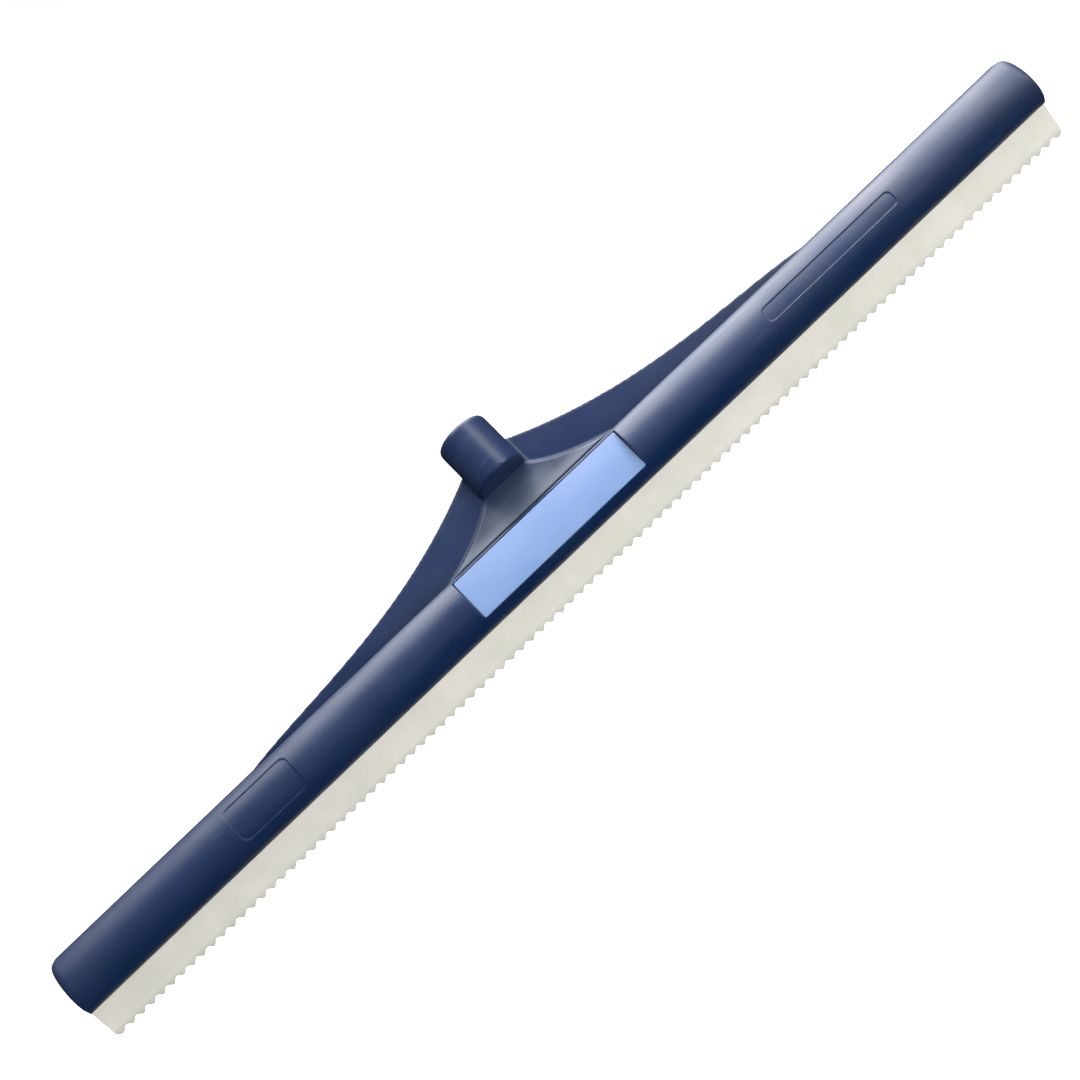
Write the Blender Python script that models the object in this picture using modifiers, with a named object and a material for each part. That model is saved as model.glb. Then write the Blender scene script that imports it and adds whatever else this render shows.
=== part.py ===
"""Floor squeegee head: a hinged two-jaw holder, a notched rubber blade and a handle socket.

The head is drawn with its blade upright. X runs along the blade, Y points to the back and Z up.
Heights are counted from the bottom of the jaws, and depths from the middle plane of the blade.
The whole head hangs from one empty, which puts the world's origin in the mouth of the socket.
"""

import math

import bmesh
import bpy
from mathutils import Matrix, Vector

MM = 0.001
NAME = "squeegee_head"

# Blade: a strip of rubber, notched along its lower edge.
BLADE_LENGTH = 609.6 * MM
BLADE_THICKNESS = 4.8 * MM
BLADE_TOP = 17.5 * MM
BLADE_BOTTOM = -20.6 * MM
NOTCH_PITCH = 6.35 * MM
NOTCH_DEPTH = 2.4 * MM
TOOTH_TIP = 2.7 * MM
NOTCH_FLOOR = 0.5 * MM
FLEX_AXIS_Z = -1.5 * MM
ROOT_RADIUS = 2.38 * MM
ROOT_ARC_DEG = 75.0
CLAMPED_BOTTOM = 1.2 * MM
GAP = 0.3 * MM

# Front cover: a half-round shell that turns about the hinge pins.
COVER_HALF_LENGTH = 304.0 * MM
COVER_CENTRE = Vector((1.15 * MM, 13.05 * MM))
COVER_RADIUS = 14.6 * MM
COVER_WALL = 2.4 * MM
BARREL_RADIUS = 6.0 * MM
BARREL_END_DEG = 45.0
HINGE_TILT_DEG = 20.0
CORNER_RADIUS = 5.0 * MM
END_WALL = 2.7 * MM
LIP_HEIGHT = 4.0 * MM
CLAMP_RIB = (12.2 * MM, 14.6 * MM)
CHEEK_RADIUS = 3.4 * MM
CHEEK_SPAN = (4.3 * MM, 7.3 * MM)

# Label and its flat recess, a chord of the cover's outer circle.
LABEL_SIZE = (101.6 * MM, 22.2 * MM, 0.5 * MM)
LABEL_ARC_DEG = (-98.0, 6.0)
RECESS_DEPTH = 0.8 * MM
RECESS_FLOOR = 1.2 * MM
PANEL_DEPTH = 0.5 * MM
LEFT_PANEL = (-199.0 * MM, -160.5 * MM, -92.0, -16.0)
RIGHT_PANEL = (137.0 * MM, 218.5 * MM, -66.0, -34.0)

# Seven hinges and seven blade studs, at one pitch.
STATION_COUNT = 7
STATION_PITCH = 86.0 * MM
PIN_RADIUS = 1.5 * MM
PIN_LENGTH = 15.2 * MM
LUG_RADIUS = 3.1 * MM
LUG_WIDTH = 8.0 * MM
STUD_RADIUS = 2.5 * MM
STUD_Z = 8.5 * MM
STUD_SPAN = (-4.3 * MM, 6.7 * MM)

# Rear jaw: wall, bottom flange, shoulder at 45 degrees and a row of back ribs.
REAR_HALF_LENGTH = 303.0 * MM
JAW_FRONT = 2.7 * MM
JAW_BACK = 6.2 * MM
JAW_TOP = 16.6 * MM
FLANGE_BACK = 9.4 * MM
FLANGE_THICKNESS = 2.4 * MM
SHOULDER_TOP = 23.1 * MM
SHOULDER_THICKNESS = 2.6 * MM
REAR_CORNER_RADIUS = 5.0 * MM
RIB_PITCH = 28.6667 * MM
RIB_THICKNESS = 1.8 * MM

# Gusset: a ribbed plate whose front face is the plane y = z - GUSSET_SHIFT.
GUSSET_SHIFT = 8.9 * MM
GUSSET_ZERO = Vector((17.9 * MM, 26.8 * MM))
GUSSET_DEPTH = 8.0 * MM
GUSSET_SKIN = 3.0 * MM
GUSSET_FOOT = -4.93 * MM
GUSSET_RIM = 2.6 * MM
GUSSET_CURVE = ((176.0, -4.93), (137.4, 1.84), (78.3, -2.4), (14.0, 27.45))
GUSSET_CELLS = ((17.0, 36.0), (38.0, 62.0), (64.0, 96.0), (98.0, 136.0))

# Handle socket: a round boss with a blind bore for a broom-handle thread.
BOSS_RADIUS = 13.6 * MM
BOSS_OFFSET = 5.5 * MM
BOSS_START = 12.0 * MM
BOSS_END = 42.0 * MM
BOSS_SKIRT_END = 27.2 * MM
BOSS_RIM_ROUND = 1.6 * MM
BORE_RADIUS = 9.6 * MM
BORE_DEPTH = 26.0 * MM

# Centre web: the ramp from the hinge line up to the foot of the boss.
WEB_CURVE = ((9.5, 25.4), (14.5, 27.7), (20.0, 30.6), (25.35, 35.55))
WEB_HALF_WIDTHS = (47.0 * MM, 13.6 * MM)
WEB_UNDERCUT = Vector((10.6 * MM, 23.5 * MM))
WEB_ROWS = 10

DIAGONAL = math.sqrt(0.5)
HINGE = COVER_CENTRE + (COVER_RADIUS - BARREL_RADIUS) * Vector(
    (math.sin(math.radians(HINGE_TILT_DEG)), math.cos(math.radians(HINGE_TILT_DEG)))
)
STATIONS = [(i - (STATION_COUNT - 1) / 2) * STATION_PITCH for i in range(STATION_COUNT)]

COLOURS = {
    "navy_plastic": ((0.022, 0.045, 0.125), 0.42, 0.0),
    "blade_rubber": ((0.68, 0.64, 0.55), 0.62, 0.0),
    "label_film": ((0.40, 0.52, 0.88), 0.40, 0.0),
    "pin_steel": ((0.62, 0.63, 0.65), 0.30, 1.0),
    "stud_plastic": ((0.10, 0.12, 0.17), 0.45, 0.0),
}


# ---------------------------------------------------------------- scene helpers


def clear_scene():
    for item in list(bpy.data.objects):
        bpy.data.objects.remove(item, do_unlink=True)


def make_collection(name):
    group = bpy.data.collections.new(name)
    bpy.context.scene.collection.children.link(group)
    return group


def make_material(name):
    rgb, roughness, metallic = COLOURS[name]
    mat = bpy.data.materials.new(name)
    mat.use_nodes = True
    shader = mat.node_tree.nodes["Principled BSDF"]
    shader.inputs["Base Color"].default_value = (*rgb, 1.0)
    shader.inputs["Roughness"].default_value = roughness
    shader.inputs["Metallic"].default_value = metallic
    mat.diffuse_color = (*rgb, 1.0)
    return mat


def make_empty(name, location, parent=None):
    empty = bpy.data.objects.new(name, None)
    parts.objects.link(empty)
    empty.empty_display_size = 0.02
    empty.location = location
    empty.parent = parent
    return empty


def make_part(name, mesh, slot, parent):
    """A piece drawn in the head's own frame and hung on `parent`."""
    mesh.materials.clear()
    mesh.materials.append(materials[slot])
    item = bpy.data.objects.new(name, mesh)
    parts.objects.link(item)
    item.parent = parent
    item.location = -pivots[parent.name]
    return item


def make_cutter(name, mesh):
    item = bpy.data.objects.new(name, mesh)
    cutters.objects.link(item)
    item.location = origin.location
    item.hide_render = True
    item.display_type = "WIRE"
    return item


def combine(target, tool, operation):
    mod = target.modifiers.new(operation.lower() + "_" + tool.name, "BOOLEAN")
    mod.operation = operation
    mod.solver = "EXACT"
    mod.object = tool


# ---------------------------------------------------------------- outlines


def arc(centre, radius, start_deg, end_deg, count):
    """Points on a circle in the YZ plane; angles run from +Z towards +Y."""
    points = []
    for i in range(count + 1):
        angle = math.radians(start_deg + (end_deg - start_deg) * i / count)
        points.append(centre + radius * Vector((math.sin(angle), math.cos(angle))))
    return points


def bezier(control, count):
    """Points on a cubic curve whose four control points are in millimetres."""
    a, b, c, d = (Vector(point) * MM for point in control)
    points = []
    for i in range(count + 1):
        t = i / count
        s = 1.0 - t
        points.append(a * s**3 + b * 3 * s * s * t + c * 3 * s * t * t + d * t**3)
    return points


def on_gusset(along, offset=0.0):
    """A point in the YZ plane: `along` the gusset's slope, `offset` in front of its face."""
    slope = Vector((DIAGONAL, DIAGONAL))
    normal = Vector((-DIAGONAL, DIAGONAL))
    return GUSSET_ZERO + along * slope + offset * normal


def extrude_outline(outline, thickness, matrix):
    """A flat outline as a filled 2D curve, extruded both ways and turned into a mesh."""
    curve = bpy.data.curves.new("outline", "CURVE")
    curve.dimensions = "2D"
    curve.fill_mode = "BOTH"
    curve.extrude = thickness / 2
    spline = curve.splines.new("POLY")
    spline.points.add(len(outline) - 1)
    for point, place in zip(spline.points, outline):
        point.co = (place[0], place[1], 0.0, 1.0)
    spline.use_cyclic_u = True
    item = bpy.data.objects.new("outline", curve)
    bpy.context.scene.collection.objects.link(item)
    bpy.context.view_layer.update()
    mesh = bpy.data.meshes.new_from_object(item.evaluated_get(bpy.context.evaluated_depsgraph_get()))
    bpy.data.objects.remove(item, do_unlink=True)
    bm = bmesh.new()
    bm.from_mesh(mesh)
    bmesh.ops.remove_doubles(bm, verts=bm.verts, dist=1e-6)
    bmesh.ops.transform(bm, matrix=matrix, verts=bm.verts)
    bmesh.ops.recalc_face_normals(bm, faces=bm.faces)
    bm.to_mesh(mesh)
    bm.free()
    return mesh


ALONG_X = Matrix(((0, 0, 1, 0), (1, 0, 0, 0), (0, 1, 0, 0), (0, 0, 0, 1)))
ALONG_Y = Matrix(((1, 0, 0, 0), (0, 0, -1, 0), (0, 1, 0, 0), (0, 0, 0, 1)))


def prism(outline, low, high):
    """A YZ outline extruded along X from `low` to `high`."""
    shift = Matrix.Translation(((low + high) / 2, 0, 0))
    return extrude_outline(outline, high - low, shift @ ALONG_X)


def repeat(mesh, shifts):
    """One mesh that holds a copy of `mesh` at each shift along X."""
    bm = bmesh.new()
    for shift in shifts:
        first = len(bm.verts)
        bm.from_mesh(mesh)
        bm.verts.ensure_lookup_table()
        bmesh.ops.translate(bm, verts=bm.verts[first:], vec=(shift, 0, 0))
    result = bpy.data.meshes.new("row")
    bm.to_mesh(result)
    bm.free()
    return result


def box_mesh(low, high, turn=None):
    """A box from `low` to `high`, turned by the optional matrix."""
    bm = bmesh.new()
    bmesh.ops.create_cube(bm, size=1.0)
    low = Vector(low)
    high = Vector(high)
    size = high - low
    matrix = Matrix.Translation((low + high) / 2) @ Matrix.Diagonal((*size, 1.0))
    if turn is not None:
        matrix = turn @ matrix
    bmesh.ops.transform(bm, matrix=matrix, verts=bm.verts)
    mesh = bpy.data.meshes.new("box")
    bm.to_mesh(mesh)
    bm.free()
    return mesh


def cylinder_mesh(radius, start, end, sides):
    """A closed cylinder between two points."""
    start = Vector(start)
    end = Vector(end)
    axis = end - start
    bm = bmesh.new()
    bmesh.ops.create_cone(
        bm, cap_ends=True, segments=sides, radius1=radius, radius2=radius, depth=axis.length
    )
    turn = Vector((0, 0, 1)).rotation_difference(axis).to_matrix().to_4x4()
    bmesh.ops.transform(bm, matrix=Matrix.Translation((start + end) / 2) @ turn, verts=bm.verts)
    mesh = bpy.data.meshes.new("cylinder")
    bm.to_mesh(mesh)
    bm.free()
    return mesh


def smooth(item, angle_deg=32.0):
    item.data.shade_smooth()
    item.data.set_sharp_from_angle(angle=math.radians(angle_deg))


def rounded_top(half_length, top, bottom, radius):
    """An XZ outline with two round upper corners, extruded well past the head in Y."""
    steps = 8
    outline = [Vector((-half_length, bottom)), Vector((half_length, bottom))]
    for side in (1, -1):
        centre = Vector((side * (half_length - radius), top - radius))
        for i in range(steps + 1):
            angle = math.radians(90.0 * i / steps)
            if side < 0:
                angle = math.radians(90.0) - angle
            outline.append(centre + radius * Vector((side * math.cos(angle), math.sin(angle))))
    return extrude_outline(outline, 120 * MM, ALONG_Y)


# ---------------------------------------------------------------- front cover


def cover_outline():
    """The cover's outside: lip, half-round front and hinge barrel, closed along the blade."""
    lip_deg = -math.degrees(math.acos(-COVER_CENTRE.y / COVER_RADIUS))
    outline = arc(COVER_CENTRE, COVER_RADIUS, lip_deg, HINGE_TILT_DEG, 30)
    outline += arc(HINGE, BARREL_RADIUS, HINGE_TILT_DEG, BARREL_END_DEG, 4)[1:]
    outline.append(Vector((7.4 * MM, 21.1 * MM)))
    outline.append(Vector((5.0 * MM, 17.0 * MM)))
    outline.append(Vector((2.0 * MM, 13.0 * MM)))
    outline.append(Vector((2.0 * MM, outline[0].y)))
    return outline


def cavity_outline():
    """The space inside the cover, with the lip pad and the clamp rib left standing."""
    inner = COVER_RADIUS - COVER_WALL

    def on_inner(z):
        return -math.degrees(math.acos((z - COVER_CENTRE.y) / inner))

    lip_face = -JAW_FRONT
    outline = [Vector((lip_face, -3 * MM)), Vector((lip_face, LIP_HEIGHT))]
    outline += arc(COVER_CENTRE, inner, on_inner(LIP_HEIGHT), on_inner(CLAMP_RIB[0]), 8)
    outline += [Vector((lip_face, CLAMP_RIB[0])), Vector((lip_face, CLAMP_RIB[1]))]
    outline += arc(COVER_CENTRE, inner, on_inner(CLAMP_RIB[1]), HINGE_TILT_DEG, 14)
    outline += arc(HINGE, BARREL_RADIUS - COVER_WALL, HINGE_TILT_DEG, BARREL_END_DEG, 3)[1:]
    outline.append(outline[-1] + Vector((6 * MM, 0)))
    outline += [Vector((14 * MM, 18 * MM)), Vector((14 * MM, -3 * MM))]
    return outline


def label_frame():
    """Matrix with X along the head, Y up the label's chord and Z out of its face."""
    low = arc(COVER_CENTRE, COVER_RADIUS, LABEL_ARC_DEG[0], LABEL_ARC_DEG[0], 1)[0]
    high = arc(COVER_CENTRE, COVER_RADIUS, LABEL_ARC_DEG[1], LABEL_ARC_DEG[1], 1)[0]
    middle = (low + high) / 2
    chord = (high - low).normalized()
    columns = (
        (1, 0, 0, 0),
        (0, chord.x, -chord.y, middle.x),
        (0, chord.y, chord.x, middle.y),
        (0, 0, 0, 1),
    )
    return Matrix(columns), (high - low).length


def hinge_cheek():
    """One rib that joins the shell to its hinge eye."""
    outline = arc(HINGE, CHEEK_RADIUS, 75, 285, 14)
    outline += [Vector((-3.2 * MM, 25.8 * MM)), Vector((3.5 * MM, 26.2 * MM))]
    outline.append(HINGE + 4.8 * MM * Vector((math.sin(0.66), math.cos(0.66))))
    return prism(outline, 0, CHEEK_SPAN[1] - CHEEK_SPAN[0])


def panel_cutter(name, panel):
    """A shallow recess that follows the cover's curve between two angles."""
    left, right, low_deg, high_deg = panel
    outer = arc(COVER_CENTRE, COVER_RADIUS + 1 * MM, low_deg, high_deg, 8)
    inner = arc(COVER_CENTRE, COVER_RADIUS - PANEL_DEPTH, high_deg, low_deg, 8)
    return make_cutter(name, prism(outer + inner, left, right))


def build_front_cover():
    cover = make_part(
        "front_cover",
        prism(cover_outline(), -COVER_HALF_LENGTH, COVER_HALF_LENGTH),
        "navy_plastic",
        cover_hinge,
    )
    top = COVER_CENTRE.y + COVER_RADIUS
    ends = rounded_top(COVER_HALF_LENGTH, top + GAP, -9 * MM, CORNER_RADIUS)
    combine(cover, make_cutter("cover_ends", ends), "INTERSECT")

    inside = COVER_HALF_LENGTH - END_WALL
    cavity = make_cutter("cover_cavity", prism(cavity_outline(), -inside, inside))
    inner_ends = rounded_top(
        inside - 0.05 * MM, top - COVER_WALL + 0.2 * MM, -9 * MM, CORNER_RADIUS - END_WALL
    )
    combine(cavity, make_cutter("cavity_ends", inner_ends), "INTERSECT")
    frame, chord = label_frame()
    half_width = LABEL_SIZE[0] / 2 + GAP
    pad_half = half_width + 1.8 * MM
    pad = box_mesh(
        (-pad_half, -chord, -RECESS_DEPTH - RECESS_FLOOR), (pad_half, chord, 12 * MM), frame
    )
    combine(cavity, make_cutter("label_pad", pad), "DIFFERENCE")
    combine(cover, cavity, "DIFFERENCE")
    for name, outward in (("left_slot", -1), ("right_slot", 1)):
        near = outward * (inside - 0.1 * MM)
        far = outward * (COVER_HALF_LENGTH + 2 * MM)
        low = (min(near, far), -JAW_FRONT, -3 * MM)
        high = (max(near, far), 12 * MM, BLADE_TOP + GAP)
        combine(cover, make_cutter(name, box_mesh(low, high)), "DIFFERENCE")

    starts = []
    for x in STATIONS:
        starts += [x + CHEEK_SPAN[0], x - CHEEK_SPAN[1]]
    combine(cover, make_cutter("hinge_cheeks", repeat(hinge_cheek(), starts)), "UNION")
    bore = cylinder_mesh(PIN_RADIUS + GAP, (-0.29, *HINGE), (0.29, *HINGE), 16)
    combine(cover, make_cutter("cover_pin_bore", bore), "DIFFERENCE")

    recess_half = chord / 2 - 0.2 * MM
    recess = box_mesh(
        (-half_width, -recess_half, -RECESS_DEPTH), (half_width, recess_half, 9 * MM), frame
    )
    combine(cover, make_cutter("label_recess", recess), "DIFFERENCE")
    combine(cover, panel_cutter("left_panel", LEFT_PANEL), "DIFFERENCE")
    combine(cover, panel_cutter("right_panel", RIGHT_PANEL), "DIFFERENCE")
    smooth(cover)


def build_label():
    frame, _ = label_frame()
    half_x = LABEL_SIZE[0] / 2
    half_y = LABEL_SIZE[1] / 2
    floor = GAP - RECESS_DEPTH
    mesh = box_mesh((-half_x, -half_y, floor), (half_x, half_y, floor + LABEL_SIZE[2]), frame)
    make_part("label_plate", mesh, "label_film", cover_hinge)


# ---------------------------------------------------------------- rear jaw


def rear_outline():
    back_shift = GUSSET_SHIFT - SHOULDER_THICKNESS / DIAGONAL
    return [
        Vector((JAW_FRONT, 0)),
        Vector((JAW_FRONT, JAW_TOP)),
        Vector((JAW_TOP - GUSSET_SHIFT, JAW_TOP)),
        Vector((SHOULDER_TOP - GUSSET_SHIFT, SHOULDER_TOP)),
        Vector((SHOULDER_TOP - SHOULDER_THICKNESS * DIAGONAL - back_shift, SHOULDER_TOP - 1.84 * MM)),
        Vector((JAW_BACK, JAW_BACK + back_shift)),
        Vector((JAW_BACK, FLANGE_THICKNESS)),
        Vector((FLANGE_BACK, FLANGE_THICKNESS)),
        Vector((FLANGE_BACK, 0)),
    ]


def hinge_lug():
    outline = arc(HINGE, LUG_RADIUS, -150, 125, 16)
    outline += [Vector((7.3 * MM, 15.6 * MM)), Vector((2.95 * MM, 15.6 * MM))]
    return prism(outline, -LUG_WIDTH / 2, LUG_WIDTH / 2)


def back_rib():
    outline = [
        Vector((5.0 * MM, 1.2 * MM)),
        Vector((FLANGE_BACK - 0.6 * MM, 1.2 * MM)),
        Vector((FLANGE_BACK + 0.4 * MM, 8.0 * MM)),
        Vector((14.6 * MM, 19.0 * MM)),
        Vector((13.2 * MM, 20.0 * MM)),
        Vector((5.0 * MM, 11.8 * MM)),
    ]
    return prism(outline, -RIB_THICKNESS / 2, RIB_THICKNESS / 2)


def build_rear_jaw():
    jaw = make_part(
        "rear_jaw",
        prism(rear_outline(), -REAR_HALF_LENGTH, REAR_HALF_LENGTH),
        "navy_plastic",
        origin,
    )
    ends = rounded_top(REAR_HALF_LENGTH + GAP, SHOULDER_TOP + GAP, -9 * MM, REAR_CORNER_RADIUS)
    combine(jaw, make_cutter("rear_ends", ends), "INTERSECT")
    combine(jaw, make_cutter("hinge_lugs", repeat(hinge_lug(), STATIONS)), "UNION")
    rib_count = int(REAR_HALF_LENGTH / RIB_PITCH)
    rib_places = [(i + 0.5) * RIB_PITCH for i in range(-rib_count, rib_count)]
    combine(jaw, make_cutter("back_ribs", repeat(back_rib(), rib_places)), "UNION")
    bore = cylinder_mesh(PIN_RADIUS + GAP, (-0.29, *HINGE), (0.29, *HINGE), 16)
    combine(jaw, make_cutter("lug_pin_bore", bore), "DIFFERENCE")
    hole = cylinder_mesh(STUD_RADIUS + GAP, (0, 0, STUD_Z), (0, 12 * MM, STUD_Z), 20)
    combine(jaw, make_cutter("jaw_stud_holes", repeat(hole, STATIONS)), "DIFFERENCE")
    smooth(jaw)


# ---------------------------------------------------------------- gusset, web and socket


def gusset_matrix():
    """Local X along the head, Y up the slope, Z out of the front face."""
    columns = (
        (1, 0, 0, 0),
        (0, DIAGONAL, -DIAGONAL, GUSSET_ZERO.x),
        (0, DIAGONAL, DIAGONAL, GUSSET_ZERO.y),
        (0, 0, 0, 1),
    )
    return Matrix(columns)


def build_gusset():
    right = bezier(GUSSET_CURVE, 26)
    notch = BOSS_RADIUS + GAP
    right = [point for point in right if point.x > notch]
    right.append(Vector((notch, GUSSET_CURVE[3][1] * MM)))
    right.append(Vector((notch, BOSS_START - GAP)))
    left = [Vector((-point.x, point.y)) for point in reversed(right)]
    back = gusset_matrix() @ Matrix.Translation((0, 0, -GUSSET_DEPTH / 2))
    plate = make_part(
        "gusset_plate", extrude_outline(right + left, GUSSET_DEPTH, back), "navy_plastic", origin
    )

    bm = bmesh.new()
    for start, end in GUSSET_CELLS:
        for side in (1, -1):
            bm.from_mesh(gusset_pocket(start * MM, end * MM, side))
    pockets = bpy.data.meshes.new("pockets")
    bm.to_mesh(pockets)
    bm.free()
    combine(plate, make_cutter("gusset_pockets", pockets), "DIFFERENCE")
    smooth(plate)


def gusset_pocket(start, end, side):
    """One cell between two ribs, open at the back of the plate."""
    edge = [point for point in bezier(GUSSET_CURVE, 60) if start < point.x < end]
    foot = GUSSET_FOOT + GUSSET_RIM
    outline = [Vector((start, foot)), Vector((end, foot))]
    outline += [Vector((point.x, max(point.y - GUSSET_RIM, foot + 0.4 * MM))) for point in edge[::3]]
    outline[1].x = outline[2].x
    outline[0].x = outline[-1].x
    outline = [Vector((side * point.x, point.y)) for point in outline]
    depth = GUSSET_DEPTH - GUSSET_SKIN
    place = Matrix.Translation((0, 0, -GUSSET_SKIN - depth))
    return extrude_outline(outline, 2 * depth, gusset_matrix() @ place)


def build_socket():
    boss_axis = BOSS_OFFSET
    base = (0, *on_gusset(BOSS_START, boss_axis))
    mouth = (0, *on_gusset(BOSS_END, boss_axis))
    shell = cylinder_mesh(BOSS_RADIUS, base, mouth, 48)
    socket = make_part("handle_socket", shell, "navy_plastic", origin)

    skirt = box_mesh(
        (-BOSS_RADIUS, BOSS_START, -GUSSET_DEPTH),
        (BOSS_RADIUS, BOSS_SKIRT_END, boss_axis),
        gusset_matrix(),
    )
    combine(socket, make_cutter("socket_skirt", skirt), "UNION")
    rim = socket.modifiers.new("rim_round", "BEVEL")
    rim.width = BOSS_RIM_ROUND
    rim.segments = 3
    rim.limit_method = "ANGLE"
    rim.angle_limit = math.radians(60)
    rim.harden_normals = False
    bore_start = (0, *on_gusset(BOSS_END - BORE_DEPTH, boss_axis))
    bore_end = (0, *on_gusset(BOSS_END + 5 * MM, boss_axis))
    bore = cylinder_mesh(BORE_RADIUS, bore_start, bore_end, 40)
    combine(socket, make_cutter("socket_bore", bore), "DIFFERENCE")
    smooth(socket)


def build_web():
    """Loft of a ramp: each row runs foot, ridge, ridge, foot, and back along the gusset."""
    profile = bezier(WEB_CURVE, WEB_ROWS)
    bm = bmesh.new()
    rows = []
    for i, point in enumerate(profile):
        t = i / WEB_ROWS
        ridge = WEB_HALF_WIDTHS[0] * (1 - t) + WEB_HALF_WIDTHS[1] * t
        height = (point.y - point.x - GUSSET_SHIFT) * DIAGONAL - GAP
        foot = ridge + height * (1 - t)
        behind = point - (height * Vector((-DIAGONAL, DIAGONAL)))
        if i == 0:
            behind = WEB_UNDERCUT + Vector((2.3 * MM, -1.0 * MM))
        row = [(-foot, behind), (-ridge, point), (ridge, point), (foot, behind)]
        rows.append([bm.verts.new((x, place.x, place.y)) for x, place in row])
    for low, high in zip(rows, rows[1:]):
        for k in range(4):
            bm.faces.new((low[k], low[(k + 1) % 4], high[(k + 1) % 4], high[k]))
    bm.faces.new(rows[0])
    bm.faces.new(rows[-1])
    bmesh.ops.recalc_face_normals(bm, faces=bm.faces)
    mesh = bpy.data.meshes.new("centre_web")
    bm.to_mesh(mesh)
    bm.free()
    web = make_part("centre_web", mesh, "navy_plastic", origin)
    smooth(web, 20.0)


# ---------------------------------------------------------------- blade, studs and pins


def build_clamped_strip():
    half = BLADE_THICKNESS / 2
    strip = make_part(
        "blade_clamped",
        box_mesh((-BLADE_LENGTH / 2, -half, CLAMPED_BOTTOM), (BLADE_LENGTH / 2, half, BLADE_TOP)),
        "blade_rubber",
        origin,
    )
    hole = cylinder_mesh(STUD_RADIUS + GAP, (0, -6 * MM, STUD_Z), (0, 6 * MM, STUD_Z), 20)
    combine(strip, make_cutter("blade_stud_holes", repeat(hole, STATIONS)), "DIFFERENCE")


def notch_cutter():
    """One V notch between two teeth, drawn from the front and longer than the blade is thick."""
    valley = BLADE_BOTTOM + NOTCH_DEPTH
    mouth = (NOTCH_PITCH - TOOTH_TIP) / 2
    below = mouth * (1 + 1 * MM / NOTCH_DEPTH)
    outline = [
        Vector((-NOTCH_FLOOR / 2, valley)),
        Vector((NOTCH_FLOOR / 2, valley)),
        Vector((below, BLADE_BOTTOM - 1 * MM)),
        Vector((-below, BLADE_BOTTOM - 1 * MM)),
    ]
    return extrude_outline(outline, 2 * BLADE_THICKNESS, ALONG_Y)


def build_blade_edge():
    half = BLADE_THICKNESS / 2
    top = FLEX_AXIS_Z + ROOT_RADIUS + 1 * MM
    edge = make_part(
        "blade_edge",
        box_mesh((-BLADE_LENGTH / 2, -half, BLADE_BOTTOM), (BLADE_LENGTH / 2, half, top)),
        "blade_rubber",
        blade_flex_axis,
    )
    steep = Vector((0.3 * MM, -0.3 * MM * math.tan(math.radians(ROOT_ARC_DEG))))
    outline = arc(Vector((0, FLEX_AXIS_Z)), ROOT_RADIUS, -ROOT_ARC_DEG, ROOT_ARC_DEG, 10)
    right = outline[-1] + steep
    outline += [right, Vector((right.x, -30 * MM))]
    outline += [Vector((-right.x, -30 * MM)), Vector((-right.x, right.y))]
    span = BLADE_LENGTH / 2 + 2 * MM
    combine(edge, make_cutter("blade_root", prism(outline, -span, span)), "INTERSECT")

    teeth = round(BLADE_LENGTH / NOTCH_PITCH)
    places = [(i + 1) * NOTCH_PITCH - BLADE_LENGTH / 2 for i in range(teeth - 1)]
    combine(edge, make_cutter("blade_notches", repeat(notch_cutter(), places)), "DIFFERENCE")
    smooth(edge)


def build_studs_and_pins():
    stud = cylinder_mesh(STUD_RADIUS, (0, STUD_SPAN[0], STUD_Z), (0, STUD_SPAN[1], STUD_Z), 20)
    pin = cylinder_mesh(PIN_RADIUS, (-PIN_LENGTH / 2, *HINGE), (PIN_LENGTH / 2, *HINGE), 16)
    for i, x in enumerate(STATIONS, start=1):
        smooth(make_part(f"blade_stud_{i}", repeat(stud, [x]), "stud_plastic", origin))
        smooth(make_part(f"hinge_pin_{i}", repeat(pin, [x]), "pin_steel", origin))


# ---------------------------------------------------------------- assembly

clear_scene()
parts = make_collection(NAME)
cutters = make_collection("cutters")
materials = {name: make_material(name) for name in COLOURS}

mouth_centre = Vector((0, *on_gusset(BOSS_END, BOSS_OFFSET)))
pivots = {
    "head_origin": Vector((0, 0, 0)),
    "cover_hinge_axis": Vector((0, *HINGE)),
    "blade_flex_axis": Vector((0, 0, FLEX_AXIS_Z)),
}
origin = make_empty("head_origin", -mouth_centre)
cover_hinge = make_empty("cover_hinge_axis", pivots["cover_hinge_axis"], origin)
blade_flex_axis = make_empty("blade_flex_axis", pivots["blade_flex_axis"], origin)

build_rear_jaw()
build_gusset()
build_web()
build_socket()
build_clamped_strip()
build_blade_edge()
build_studs_and_pins()
build_front_cover()
build_label()
bpy.context.view_layer.update()
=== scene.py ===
"""Looks of the notched floor squeegee head: mouldings, blade, label, materials, light and camera.

Shapes are drawn in millimetres in the head's own axes: X along the blade, Y to the back and Z up,
with y = 0 in the middle plane of the blade and z = 0 at the bottom of the jaws. place() then
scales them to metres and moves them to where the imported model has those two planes.
"""

import math

import bmesh
import bpy
from mathutils import Matrix, Vector


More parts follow.
